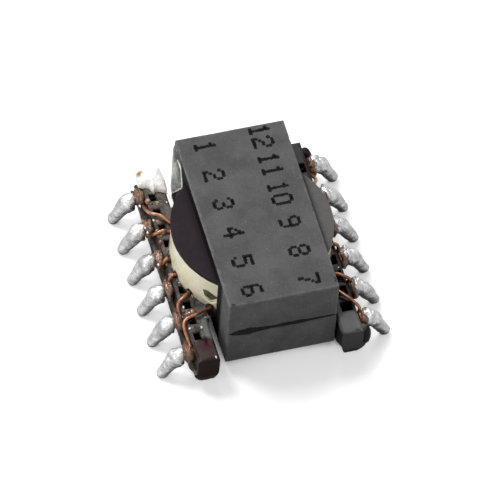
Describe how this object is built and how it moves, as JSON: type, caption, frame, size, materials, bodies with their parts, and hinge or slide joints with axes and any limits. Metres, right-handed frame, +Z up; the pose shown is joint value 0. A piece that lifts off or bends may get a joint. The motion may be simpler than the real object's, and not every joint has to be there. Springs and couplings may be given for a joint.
{
  "type": "surface-mount transformer",
  "caption": "Small board-mounted transformer: a flat ferrite core over a round taped coil, on a dark former with soldered gull-wing terminals along both sides.",
  "frame": {"origin": "centre of the footprint on the board plane, under the terminals' toes", "axes": "+X across the two terminal rows, +Y along the rows towards terminals 1 and 12, +Z up from the board"},
  "size_m": [0.0124, 0.0124, 0.0055],
  "materials": {
    "ferrite": "ground, dull grey",
    "adhesive": "cured black epoxy, glossy",
    "former_plastic": "moulded, with flux residue",
    "cream_tape": "polyester tape, slightly glossy",
    "layer_tape": "thin polyester film",
    "terminal_metal": "tinned wire",
    "solder_tin": "dip-soldered, grey and lumpy",
    "copper_wire": "enamelled copper, orange brown"
  },
  "bodies": {
    "root": {"core_lower": "ferrite", "core_upper": "ferrite", "glue_front": "adhesive", "glue_back": "adhesive", "coil_former": "former_plastic", "outer_tape": "cream_tape", "terminal_01": "terminal_metal", "terminal_02": "terminal_metal", "terminal_03": "terminal_metal", "terminal_04": "terminal_metal", "terminal_05": "terminal_metal", "terminal_06": "terminal_metal", "terminal_07": "terminal_metal", "terminal_08": "terminal_metal", "terminal_09": "terminal_metal", "terminal_10": "terminal_metal", "terminal_11": "terminal_metal", "terminal_12": "terminal_metal", "solder_01": "solder_tin", "solder_02": "solder_tin", "solder_03": "solder_tin", "solder_04": "solder_tin", "solder_05": "solder_tin", "solder_06": "solder_tin", "solder_07": "solder_tin", "solder_08": "solder_tin", "solder_09": "solder_tin", "solder_10": "solder_tin", "solder_11": "solder_tin", "solder_12": "solder_tin", "winding_1": "copper_wire", "winding_2": "copper_wire", "winding_3": "copper_wire", "winding_4": "copper_wire", "winding_5": "copper_wire", "winding_6": "copper_wire", "layer_tape_1": "layer_tape", "layer_tape_2": "layer_tape", "layer_tape_3": "layer_tape", "layer_tape_4": "layer_tape", "layer_tape_5": "layer_tape"}
  },
  "joints": []
}
